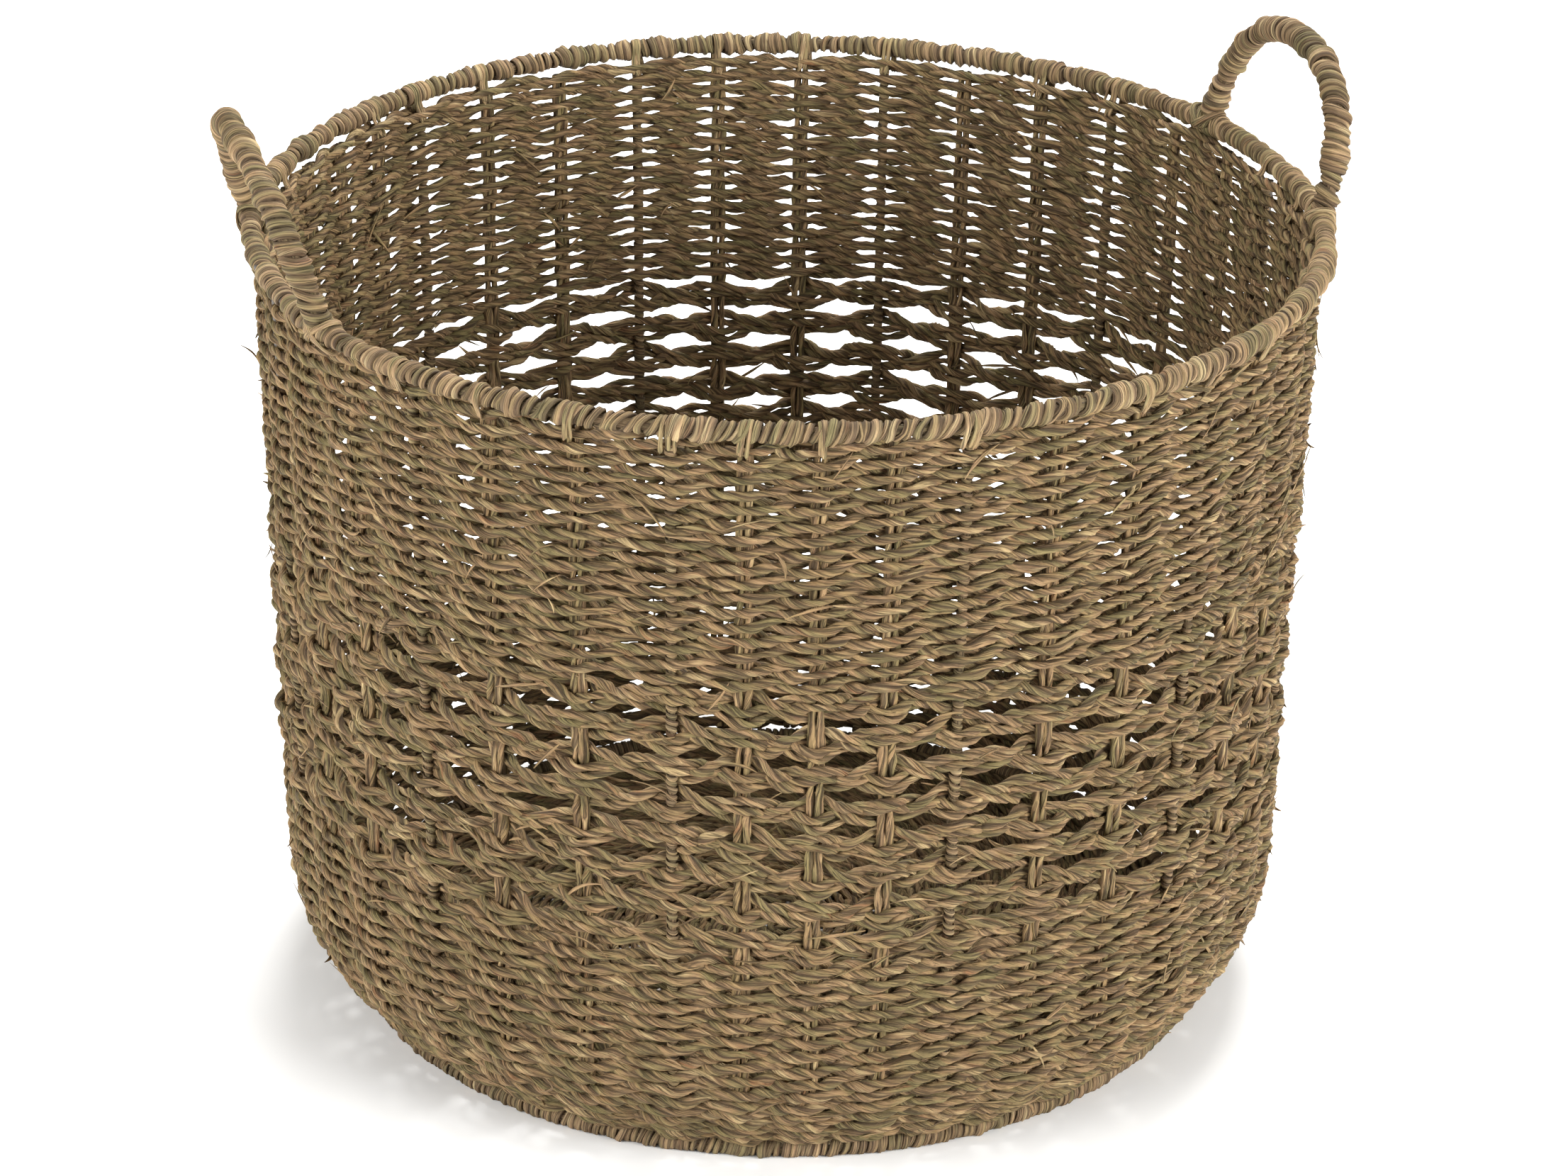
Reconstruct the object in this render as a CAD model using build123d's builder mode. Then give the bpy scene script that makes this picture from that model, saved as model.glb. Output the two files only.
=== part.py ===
"""Seagrass storage basket: a wire frame wrapped and woven with seagrass cord.

Millimetres, +Z up. The origin is on the floor, at the middle of the base's underside.
"""

import os
from math import atan2, cos, degrees, pi, radians, sin

from build123d import *

# Rim: a wire hoop and the blades wound round it
rim_radius = 230.0
rim_height = 352.0
rim_diameter = 8.0
rim_wire_diameter = 4.0

# Wall: radii are those of the middle of its thickness
wall_thickness = 9.6
wall_top_radius = 225.5
wall_top_height = 345.6
wall_knee_radius = 218.0
wall_knee_height = 62.0

# Bands of weave, from the top down
openwork_top = 237.0
openwork_bottom = 110.0
openwork_row_count = 8
openwork_row_height = 11.0

# Base ring and base
base_ring_radius = 190.5
base_ring_height = 4.0
base_ring_diameter = 9.0
base_wire_diameter = 4.0
base_weave_thickness = 7.0
spoke_diameter = 3.0
centre_ring_radius = 18.0

# Uprights: wire ones at even angles, with pairs of cords between them
frame_upright_count = 12
first_upright_angle = -101.4
frame_wire_diameter = 3.0
wrapped_wire_diameter = 4.4
warp_cord_diameter = 3.3
warp_cord_spacing = 3.5
upright_top = 345.8
upright_foot_rise = 6.5
upright_foot_offset = 1.2
pairs_per_gap = 2
wide_gaps = (0, 8)
pairs_per_wide_gap = 3

# Handles: the middle's angle round the rim, the feet's angle from it, and the loop's top
handle_angle = {"right": 18.3, "left": 197.5}
handle_half_angle = {"right": 15.8, "left": 17.5}
handle_top_radius = {"right": 235.0, "left": 238.0}
handle_top_shift = {"right": -4.0, "left": 0.0}
handle_top_height = 412.0
handle_fullness = 0.85
handle_steps = 12
handle_diameter = 10.5
handle_wire_diameter = 4.0

# Lashings: a sleeve wound round the rim at each foot of a handle
lashing_width = 14.0
lashing_diameter = 11.0

fit_clearance = 0.1

os.makedirs("parts", exist_ok=True)


def save(piece, name):
    """Label a finished piece and write it as its own node."""
    piece.part.label = name
    export_step(piece.part, f"parts/{name}.step")


def wall_radius(height):
    """Radius of the middle of the straight part of the wall."""
    share = (height - wall_knee_height) / (wall_top_height - wall_knee_height)
    return wall_knee_radius + share * (wall_top_radius - wall_knee_radius)


wall_knee = (wall_knee_radius, wall_knee_height)
wall_foot = (base_ring_radius + upright_foot_offset, base_ring_height + upright_foot_rise)

# The line that every upright follows: down the wall, then in to the base ring.
with BuildLine(Plane.XZ) as upright_line:
    straight = Line((wall_radius(upright_top), upright_top), wall_knee)
    TangentArc(straight @ 1, Plane.XZ.from_local_coords(wall_foot), tangent=straight % 1)

upright_start = Plane(
    origin=upright_line.line @ 0,
    x_dir=(0, 1, 0),
    z_dir=upright_line.line % 0,
)

gap_angle = 360.0 / frame_upright_count
frame_angles = [first_upright_angle + gap_angle * i for i in range(frame_upright_count)]


def warp_angles(gap):
    """Angles of the cord pairs between one wire upright and the next."""
    count = pairs_per_wide_gap if gap in wide_gaps else pairs_per_gap
    return [frame_angles[gap] + gap_angle * (i + 1) / (count + 1) for i in range(count)]


# ---------------------------------------------------------------- one upright of each kind
with BuildPart() as frame_wire:
    with BuildSketch(upright_start):
        Circle(frame_wire_diameter / 2)
    sweep(path=upright_line.line)

with BuildPart() as wire_wrapping:
    with BuildSketch(upright_start):
        Circle(wrapped_wire_diameter / 2)
        Circle(frame_wire_diameter / 2, mode=Mode.SUBTRACT)
    sweep(path=upright_line.line)

with BuildPart() as warp_cord:
    with BuildSketch(upright_start):
        Circle(warp_cord_diameter / 2)
    sweep(path=upright_line.line)

# The spaces that the uprights fill in the weave.
with BuildPart() as wire_channel:
    with BuildSketch(upright_start):
        Circle(wrapped_wire_diameter / 2 + fit_clearance)
    sweep(path=upright_line.line)

with BuildPart() as warp_channel:
    with BuildSketch(upright_start):
        SlotCenterToCenter(warp_cord_spacing, warp_cord_diameter + 2 * fit_clearance)
    sweep(path=upright_line.line)


channels = []
for gap in range(frame_upright_count):
    channels.append(Rot(0, 0, frame_angles[gap]) * wire_channel.part)
    channels.extend(Rot(0, 0, angle) * warp_channel.part for angle in warp_angles(gap))


# ---------------------------------------------------------------- uprights
for gap in range(frame_upright_count):
    number = f"{gap + 1:02d}"

    with BuildPart() as upright_wire:
        add(frame_wire.part, rotation=(0, 0, frame_angles[gap]))
    save(upright_wire, f"frame_wire_{number}")

    with BuildPart() as upright_wrapping:
        add(wire_wrapping.part, rotation=(0, 0, frame_angles[gap]))
    save(upright_wrapping, f"wire_wrapping_{number}")

    with BuildPart() as warp_cords:
        for angle in warp_angles(gap):
            for side in (-0.5, 0.5):
                shift = Pos(0, side * warp_cord_spacing, 0)
                add(Rot(0, 0, angle) * shift * warp_cord.part)
    save(warp_cords, f"warp_cords_{number}")


# ---------------------------------------------------------------- weave
with BuildPart() as upper_weave:
    with BuildSketch(Plane.XZ):
        with BuildLine():
            Line(
                (wall_radius(openwork_top), openwork_top),
                (wall_top_radius, wall_top_height),
            )
        trace(line_width=wall_thickness)
    revolve(axis=Axis.Z)
    add(channels, mode=Mode.SUBTRACT)
save(upper_weave, "upper_weave")

openwork_pitch = (openwork_top - openwork_bottom) / openwork_row_count
for row in range(openwork_row_count):
    middle = openwork_top - openwork_pitch * (row + 0.5)
    low = middle - openwork_row_height / 2
    high = middle + openwork_row_height / 2
    with BuildPart() as openwork_row:
        with BuildSketch(Plane.XZ):
            with BuildLine():
                Line((wall_radius(low), low), (wall_radius(high), high))
            trace(line_width=wall_thickness)
        revolve(axis=Axis.Z)
        add(channels, mode=Mode.SUBTRACT)
    save(openwork_row, f"openwork_row_{row + 1}")

with BuildPart() as lower_weave:
    with BuildSketch(Plane.XZ):
        with BuildLine():
            fall = Line((wall_radius(openwork_bottom), openwork_bottom), wall_knee)
            TangentArc(fall @ 1, wall_foot, tangent=fall % 1)
        trace(line_width=wall_thickness)
    revolve(axis=Axis.Z)
    add(channels, mode=Mode.SUBTRACT)
save(lower_weave, "lower_weave")


# ---------------------------------------------------------------- rim and base ring
def hoop_section(radius, height, outer, inner=0.0):
    """Round section of a hoop, hollow where it is wound round a wire."""
    with Locations((radius, height)):
        Circle(outer / 2)
        if inner:
            Circle(inner / 2, mode=Mode.SUBTRACT)


with BuildPart() as rim_hoop:
    with BuildSketch(Plane.XZ):
        hoop_section(rim_radius, rim_height, rim_wire_diameter)
    revolve(axis=Axis.Z)
save(rim_hoop, "rim_hoop")

with BuildPart() as rim_wrapping:
    with BuildSketch(Plane.XZ):
        hoop_section(rim_radius, rim_height, rim_diameter, rim_wire_diameter)
    revolve(axis=Axis.Z)

with BuildPart() as base_hoop:
    with BuildSketch(Plane.XZ):
        hoop_section(base_ring_radius, base_ring_height, base_wire_diameter)
    revolve(axis=Axis.Z)
save(base_hoop, "base_hoop")

# The base ring's wrapping is pressed flat where it stands on the floor.
with BuildPart() as base_ring_wrapping:
    with BuildSketch(Plane.XZ):
        hoop_section(base_ring_radius, base_ring_height, base_ring_diameter, base_wire_diameter)
        with Locations((base_ring_radius, 0)):
            Rectangle(
                base_ring_diameter,
                base_ring_diameter,
                align=(Align.CENTER, Align.MAX),
                mode=Mode.SUBTRACT,
            )
    revolve(axis=Axis.Z)
save(base_ring_wrapping, "base_ring_wrapping")


# ---------------------------------------------------------------- base
base_weave_radius = base_ring_radius - base_ring_diameter / 2 - fit_clearance
spoke_height = base_weave_thickness / 2
spoke_start = centre_ring_radius + spoke_diameter / 2 + fit_clearance
spoke_length = base_weave_radius - spoke_start


def spokes(diameter, start, length):
    """Radial bars of one diameter, one under each wire upright."""
    for angle in frame_angles:
        turned = Plane.XY.offset(spoke_height).rotated((0, 0, angle))
        axis = Plane(origin=turned.origin, x_dir=turned.z_dir, z_dir=turned.x_dir)
        with Locations(axis.offset(start)):
            Cylinder(diameter / 2, length, align=(Align.CENTER, Align.CENTER, Align.MIN))


with BuildPart() as base_spokes:
    spokes(spoke_diameter, spoke_start, spoke_length)
save(base_spokes, "base_spokes")

with BuildPart() as base_centre_ring:
    with BuildSketch(Plane.XZ):
        hoop_section(centre_ring_radius, spoke_height, spoke_diameter)
    revolve(axis=Axis.Z)
save(base_centre_ring, "base_centre_ring")

channel_diameter = spoke_diameter + 2 * fit_clearance
with BuildPart() as base_wire_space:
    with BuildSketch(Plane.XZ):
        hoop_section(centre_ring_radius, spoke_height, channel_diameter)
    revolve(axis=Axis.Z)
    spokes(channel_diameter, centre_ring_radius, base_weave_radius)

with BuildPart() as base_weave:
    Cylinder(
        base_weave_radius,
        base_weave_thickness,
        align=(Align.CENTER, Align.CENTER, Align.MIN),
    )
    add(base_wire_space.part, mode=Mode.SUBTRACT)
save(base_weave, "base_weave")


# ---------------------------------------------------------------- handles
def handle_point(side, turn):
    """A point of a handle's middle line, as turn goes from 0 at one foot to pi at the other."""
    half = radians(handle_half_angle[side])
    across = rim_radius * sin(half) * abs(cos(turn)) ** handle_fullness
    rise = sin(turn) ** handle_fullness if 0 < turn < pi else 0.0
    foot_radius = rim_radius * cos(half)
    return (
        foot_radius + rise * (handle_top_radius[side] - foot_radius),
        (across if turn < pi / 2 else -across) + rise * handle_top_shift[side],
        rim_height + rise * (handle_top_height - rim_height),
    )


def handle_tube(side, outer, inner=0.0):
    """A round tube or rod along a handle's middle line, turned to its place on the rim."""
    points = [handle_point(side, pi * i / handle_steps) for i in range(handle_steps + 1)]
    top = points[handle_steps // 2]
    rise = Vector(top[0] - points[0][0], handle_top_shift[side], top[2] - points[0][2])
    with BuildPart() as tube:
        with BuildLine() as middle:
            Spline(points, tangents=(rise, -rise))
        with BuildSketch(Plane(origin=points[0], z_dir=rise)) as section:
            Circle(outer / 2)
            if inner:
                Circle(inner / 2, mode=Mode.SUBTRACT)
        sweep(section.sketch, path=middle.line)
    return Rot(0, 0, handle_angle[side]) * tube.part


def rim_sleeve(angle):
    """A short thick sleeve round the rim, with its middle at one angle."""
    spread = degrees(lashing_width / rim_radius)
    with BuildPart() as sleeve:
        with BuildSketch(Plane.XZ):
            hoop_section(rim_radius, rim_height, lashing_diameter, rim_diameter)
        revolve(axis=Axis.Z, revolution_arc=spread)
    # The sleeve is turned about Z until its middle lies at the wanted angle.
    centre = sleeve.part.center()
    return Rot(0, 0, angle - degrees(atan2(centre.Y, centre.X))) * sleeve.part


handle_rods = {side: handle_tube(side, handle_wire_diameter) for side in handle_angle}

with BuildPart() as cut_rim_wrapping:
    add(rim_wrapping.part)
    add(list(handle_rods.values()), mode=Mode.SUBTRACT)
save(cut_rim_wrapping, "rim_wrapping")

with BuildPart() as rim_space:
    with BuildSketch(Plane.XZ):
        hoop_section(rim_radius, rim_height, rim_diameter)
    revolve(axis=Axis.Z)

for side, angle in handle_angle.items():
    with BuildPart() as handle_hoop:
        add(handle_rods[side])
        add(rim_hoop.part, mode=Mode.SUBTRACT)
    save(handle_hoop, f"handle_{side}_hoop")

    with BuildPart() as handle_wrapping:
        add(handle_tube(side, handle_diameter, handle_wire_diameter))
        add(rim_space.part, mode=Mode.SUBTRACT)
    save(handle_wrapping, f"handle_{side}_wrapping")

    with BuildPart() as handle_lashings:
        for foot in (-1, 1):
            add(rim_sleeve(angle + foot * handle_half_angle[side]))
        add(handle_tube(side, handle_diameter), mode=Mode.SUBTRACT)
    save(handle_lashings, f"handle_{side}_lashings")
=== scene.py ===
"""Seagrass storage basket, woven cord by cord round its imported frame.

Shapes are worked out in millimetres, and Strands.build() turns them into metres. "Along" is the
distance up the wall from the base ring, "out" is the distance from the middle of the wall's
thickness, and "theta" is the angle round the basket.
"""
from dataclasses import dataclass, replace
from math import atan2, cos, pi, radians, sin

import bpy
import numpy as np
from mathutils import Matrix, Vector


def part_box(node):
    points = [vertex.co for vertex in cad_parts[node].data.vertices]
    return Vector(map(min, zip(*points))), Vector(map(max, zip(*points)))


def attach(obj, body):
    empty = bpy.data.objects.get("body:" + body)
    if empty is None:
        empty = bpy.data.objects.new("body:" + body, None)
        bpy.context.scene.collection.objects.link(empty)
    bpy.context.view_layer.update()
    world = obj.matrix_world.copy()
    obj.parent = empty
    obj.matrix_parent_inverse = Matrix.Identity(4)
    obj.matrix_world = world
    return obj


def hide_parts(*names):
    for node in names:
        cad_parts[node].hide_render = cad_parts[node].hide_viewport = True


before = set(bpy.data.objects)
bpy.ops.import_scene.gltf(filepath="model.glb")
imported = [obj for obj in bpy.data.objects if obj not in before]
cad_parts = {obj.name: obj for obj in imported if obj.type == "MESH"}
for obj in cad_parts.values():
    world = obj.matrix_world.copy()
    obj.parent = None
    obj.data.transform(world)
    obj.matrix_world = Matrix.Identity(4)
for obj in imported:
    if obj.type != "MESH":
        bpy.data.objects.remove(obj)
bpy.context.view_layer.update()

MM = 0.001
ROOT = "root"


def corners(node):
    """Lowest and highest corner of a CAD node, in millimetres."""
    low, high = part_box(node)
    return np.array(low) / MM, np.array(high) / MM


# ---------------------------------------------------------------- sizes, from the frame
rim_low, rim_high = corners("rim_wrapping")
rim_diameter = rim_high[2] - rim_low[2]
rim_radius = rim_high[0] - rim_diameter / 2
rim_height = (rim_low[2] + rim_high[2]) / 2

ring_high = corners("base_ring_wrapping")[1]
base_hoop_low, base_hoop_high = corners("base_hoop")
base_ring_height = (base_hoop_low[2] + base_hoop_high[2]) / 2
base_ring_section = ring_high[2] - base_ring_height
base_ring_radius = ring_high[0] - base_ring_section

upper_low, upper_high = corners("upper_weave")
lower_high = corners("lower_weave")[1]
base_low, base_high = corners("base_weave")
base_height = (base_low[2] + base_high[2]) / 2
base_radius = (base_high[0] - base_low[0]) / 2

# The wall's middle line falls straight from its top to its knee, then bends in to its foot.
half_wall = 4.8
wall_top = np.array([upper_high[0] - half_wall, upper_high[2]])
wall_knee = np.array([218.0, 62.0])
wall_foot = np.array([base_ring_radius + 1.2, base_ring_height + 6.5])

# ---------------------------------------------------------------- uprights
frame_uprights = 12
first_upright = radians(-101.4)
wide_gaps = (0, 8)
pairs_per_gap = 2
pairs_per_wide_gap = 3
pair_half_gap = 1.72
warp_radius = 1.92
warp_lay = 60.0
warp_ridge = 0.17

# ---------------------------------------------------------------- cords: radii, lays and steps
cord_radius = 2.03
lower_cord_radius = 1.16 * cord_radius
openwork_cord_radius = 2.14
cord_lay = 24.0
cord_ridge = 0.14
cord_step = 1.7
cord_sides = 16

# ---------------------------------------------------------------- rows of weave
upper_rows = 17
openwork_rows = 8
lower_rows = 16
openwork_pinch = 3.7
openwork_half_gap = 2.0

base_heart = 21.0
base_warp_start = 75.0
base_row_pitch = 5.0
base_warp_radius = 1.8
heart_cord_radius = 2.7
heart_rings = (3.0, 8.6, 14.2)

# ---------------------------------------------------------------- handles
handle_angle = {"right": radians(18.3), "left": radians(197.5)}
handle_half_angle = {"right": radians(15.8), "left": radians(17.5)}
handle_top_radius = {"right": 235.0, "left": 238.0}
handle_top_shift = {"right": -4.0, "left": 0.0}
handle_fullness = 0.85
handle_radius = 5.25
handle_top_height = corners("handle_right_wrapping")[1][2] - handle_radius
rim_inset = 1.9
binding_half_length = 8.0
binding_blades = 5


# ---------------------------------------------------------------- how things are woven and wound
@dataclass
class Twining:
    """A row of two cords that pass in front of and behind each upright by turns."""

    radius: float
    depth: float  # how far in front of or behind an upright a cord passes
    tilt: float  # how much lower the cord outside an upright lies, halved
    rise: float  # how far up or down a cord lies where the two cross


@dataclass
class Winding:
    """A blade, or a few side by side, wound round something."""

    core: float  # radius of what it is wound round
    pitch: float
    half_width: float
    half_thickness: float
    steps: int = 20  # points in each turn
    sides: int = 16
    lobes: float = 2.0  # ridges across the blade
    lap: float = 0.22  # angle at which a turn lies on the one before
    lean: float = 0.0  # how far a turn slants
    rough: float = 1.0  # unevenness of the turns


upper_twining = Twining(cord_radius, depth=2.7, tilt=1.2, rise=1.7)
lower_twining = Twining(lower_cord_radius, depth=2.8, tilt=0.5, rise=1.7)
base_twining = Twining(cord_radius, depth=1.5, tilt=0.0, rise=1.3)

rim_winding = Winding(1.9, 3.8, 2.3, 1.25, lean=1.3, rough=1.35)
ring_winding = Winding(2.6, 2.9, 1.6, 0.95, steps=16, sides=10, lobes=1.0, lean=0.5)
wire_winding = Winding(1.45, 3.1, 1.6, 0.42, steps=14, sides=8, lobes=1.0, rough=0.7)
handle_winding = Winding(2.8, 3.9, 2.3, 1.35, steps=28, lap=0.2, lean=1.2, rough=1.3)
binding_winding = Winding(3.3, 3.4, 2.3, 1.1, sides=12, lap=0.3, lean=1.6)


# ---------------------------------------------------------------- noise
def ring_noise(theta, waves, *seed):
    """Smooth noise of about unit size round a full circle."""
    random = np.random.default_rng(seed)
    total = np.zeros_like(theta)
    for wave in waves:
        total += random.normal() * np.cos(wave * theta + random.uniform(0, 2 * pi))
    return total / np.sqrt(len(waves) / 2)


def line_noise(distance, scale, *seed):
    """Smooth noise of about unit size along a line, with features about scale long."""
    random = np.random.default_rng(seed)
    total = np.zeros_like(distance)
    for share in (0.55, 0.8, 1.15, 1.7, 2.4):
        total += np.sin(2 * pi * distance * share / scale + random.uniform(0, 2 * pi))
    return total / np.sqrt(2.5)


# ---------------------------------------------------------------- the wall's surface
def unit(vectors):
    """Vectors of the same directions and of length one."""
    return vectors / np.linalg.norm(vectors, axis=-1, keepdims=True)


# The bend is a round arc that starts along the straight fall at the knee and ends at the foot.
fall = unit(wall_knee - wall_top)
inward = np.array([fall[1], -fall[0]])
chord = wall_foot - wall_knee
bend_radius = chord @ chord / (2 * chord @ inward)
bend_angle = 2 * atan2(chord @ inward, chord @ fall)
bend_centre = wall_knee + bend_radius * inward
bend_length = bend_radius * bend_angle
wall_length = bend_length + np.linalg.norm(wall_top - wall_knee)


def wall_profile(along):
    """Radius and height of the wall's middle, and its outward normal's two parts."""
    turn = np.clip((bend_length - along) / bend_radius, 0, None)
    rise = np.clip(along - bend_length, 0, None)
    normal = -inward * np.cos(turn)[..., None] + fall * np.sin(turn)[..., None]
    place = bend_centre + bend_radius * normal - fall * rise[..., None]
    return place, normal


def along_at(height):
    """Distance up the wall of a height on its straight part."""
    return bend_length + (wall_knee[1] - height) / fall[1]


def inset(theta):
    """How far the rim is drawn in between the feet of a handle."""
    total = np.zeros_like(theta)
    for side, middle in handle_angle.items():
        offset = (theta - middle + pi) % (2 * pi) - pi
        share = np.clip(1 - np.abs(offset) / handle_half_angle[side], 0, 1)
        total += rim_inset * np.sin(pi / 2 * share) ** 2
    return total


def bulge(theta, along):
    """How far the weave stands in or out between the wire uprights."""
    gap = (theta - first_upright) / (2 * pi) * frame_uprights
    index = np.floor(gap).astype(int) % frame_uprights
    share = np.sin(pi * (gap - np.floor(gap))) ** 2
    random = np.random.default_rng(41)
    lean = random.uniform(-1.5, 0.7, frame_uprights)[index]
    phase = random.uniform(0, 2 * pi, frame_uprights)[index]
    swell = 0.9 * np.sin(2 * pi * along / 210 + phase)
    held = np.clip(along / 60, 0, 1) * np.clip((wall_length - along) / 40, 0, 1)
    return share * held * (lean + swell)


def wall_point(theta, along, out):
    """Points of the wall, and the outward normals there."""
    place, normal = wall_profile(along)
    near_rim = np.clip(1 - (wall_length - along) / 90, 0, 1) ** 1.5
    reach = out + bulge(theta, along) - inset(theta) * near_rim
    radius = place[..., 0] + normal[..., 0] * reach
    height = place[..., 1] + normal[..., 1] * reach
    points = np.stack([radius * np.cos(theta), radius * np.sin(theta), height], -1)
    normals = np.stack(
        [normal[..., 0] * np.cos(theta), normal[..., 0] * np.sin(theta), normal[..., 1]], -1
    )
    return points, normals


def base_point(theta, along, out):
    """Points of the base disc, where along is the radius."""
    points = np.stack([along * np.cos(theta), along * np.sin(theta), base_height + out], -1)
    return points, upright_vectors(points)


def one_point(surface, theta, along, out):
    """A single point of the wall or the base."""
    return surface(np.array([theta]), np.array([along]), np.array([out]))[0][0]


def upright_vectors(points):
    """A vector that points straight up, for each point."""
    return np.broadcast_to([0.0, 0.0, 1.0], points.shape)


# ---------------------------------------------------------------- places of the uprights
gap_angle = 2 * pi / frame_uprights
frame_angles = [first_upright + gap_angle * i for i in range(frame_uprights)]
upright_angles = []
pair_angles = []
for gap, start in enumerate(frame_angles):
    pairs = pairs_per_wide_gap if gap in wide_gaps else pairs_per_gap
    upright_angles.append(start)
    for i in range(pairs):
        pair_angles.append(start + gap_angle * (i + 1) / (pairs + 1))
        upright_angles.append(pair_angles[-1])
upright_count = len(upright_angles)


def upright_phase(theta):
    """Counts uprights round the wall: a whole number at each one."""
    ends = np.array(upright_angles + [upright_angles[0] + 2 * pi])
    turn = (theta - first_upright) % (2 * pi) + first_upright
    return np.interp(turn, ends, np.arange(upright_count + 1))


def spoke_phase(theta):
    """Counts spokes round the base: a whole number at each one."""
    return (theta - first_upright) / gap_angle


# ---------------------------------------------------------------- meshes
floor_gap = 0.05


class Strands:
    """Collects tubes of plant fibre, and makes one piece of them.

    Each point keeps fibre coordinates in "flow": the distance along its strand, and its place in
    the strand's own section. Its other attribute keeps the blade's tone, and painted shade: how
    deep in a groove the point lies, which darkens its colour.
    """

    def __init__(self):
        self.points = []
        self.flow = []
        self.tone_and_shade = []
        self.quads = []
        self.caps = []
        self.count = 0

    def tube(self, rings, distance, wide, deep, tone, groove_shade, closed):
        """Adds rings of points, joined in a tube that is either closed on itself or capped."""
        flow = np.empty(rings.shape)
        flow[..., 0] = distance[:, None]
        flow[..., 1] = wide
        flow[..., 2] = deep
        tone_and_shade = np.zeros(rings.shape)
        tone_and_shade[..., 0] = tone
        # The second value is painted shade, darkest deep in a groove.
        tone_and_shade[..., 1] = groove_shade
        if closed:
            # The last ring lies on the first, but its fibre coordinates run on.
            step = flow[-1, :, 0] - flow[-2, :, 0]
            rings, flow, tone_and_shade = (np.concatenate([part, part[:1]]) for part in (rings, flow, tone_and_shade))
            flow[-1, :, 0] = flow[-2, :, 0] + step
        rows, sides = rings.shape[:2]
        rings[..., 2] = np.maximum(rings[..., 2], floor_gap)
        index = self.count + np.arange(rows * sides).reshape(rows, sides)
        start, after = index[:-1], index[1:]
        quads = [start, np.roll(start, -1, axis=1), np.roll(after, -1, axis=1), after]
        self.quads.append(np.stack(quads, -1).reshape(-1, 4))
        if not closed:
            self.caps += [index[0][::-1], index[-1]]
        self.points.append(rings.reshape(-1, 3))
        self.flow.append(flow.reshape(-1, 3))
        self.tone_and_shade.append(tone_and_shade.reshape(-1, 3))
        self.count += rows * sides

    def build(self, name, material, node):
        """Makes the piece, which stands in for one CAD node and rides its body."""
        mesh = bpy.data.meshes.new(name)
        quads = np.concatenate(self.quads)
        loops = np.concatenate([quads.ravel()] + self.caps)
        sizes = np.array([4] * len(quads) + [len(cap) for cap in self.caps])
        starts = np.concatenate([[0], np.cumsum(sizes)[:-1]])
        mesh.vertices.add(self.count)
        mesh.vertices.foreach_set("co", (np.concatenate(self.points) * MM).ravel())
        mesh.loops.add(len(loops))
        mesh.loops.foreach_set("vertex_index", loops)
        mesh.polygons.add(len(sizes))
        mesh.polygons.foreach_set("loop_start", starts)
        mesh.polygons.foreach_set("use_smooth", np.ones(len(sizes), dtype=bool))
        for label, values in (("flow", self.flow), ("tone_and_shade", self.tone_and_shade)):
            layer = mesh.attributes.new(label, "FLOAT_VECTOR", "POINT")
            layer.data.foreach_set("vector", np.concatenate(values).ravel())
        mesh.update(calc_edges=True)
        mesh.materials.append(material)
        piece = bpy.data.objects.new(name, mesh)
        bpy.context.scene.collection.objects.link(piece)
        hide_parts(node)
        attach(piece, ROOT)


def cord_section(sides):
    """Two plies side by side: radius, as a share of the cord's, round the section."""
    angle = 2 * pi * np.arange(sides) / sides
    ply_offset = 0.5
    radius = ply_offset * np.abs(np.cos(angle)) + np.sqrt(1 - (ply_offset * np.sin(angle)) ** 2)
    return angle, radius / (1 + ply_offset)


def frames_along(path, reference, closed):
    """Side and up vectors along a path, the distance along it, and its whole length."""
    if closed:
        tangent = unit(np.roll(path, -1, axis=0) - np.roll(path, 1, axis=0))
        step = np.linalg.norm(np.roll(path, -1, axis=0) - path, axis=1)
    else:
        tangent = unit(np.gradient(path, axis=0))
        step = np.append(np.linalg.norm(np.diff(path, axis=0), axis=1), 0)
    distance = np.concatenate([[0], np.cumsum(step)[:-1]])
    side = unit(np.cross(tangent, reference))
    return side, np.cross(side, tangent), distance, distance[-1] + step[-1]


def rings_round(path, side, up, wide, deep):
    """Rings of points round a path, from how far each point lies to the side and up."""
    return path[:, None, :] + wide[..., None] * side[:, None, :] + deep[..., None] * up[:, None, :]


def fibre_ridges(distance, sides, scale, *seed):
    """Ridges that run along a strand, one for each side of its section."""
    random = np.random.default_rng(seed)
    knots = max(4, int(distance[-1] / scale))
    places = np.linspace(0, distance[-1], knots)
    heights = random.normal(size=(sides, knots))
    heights[:, -1] = heights[:, 0]
    return np.stack([np.interp(distance, places, row) for row in heights], -1)


def strand_start(random):
    """A random place to start a strand's fibre coordinates at, so that no two look alike."""
    return random.uniform(0, 4000)


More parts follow.
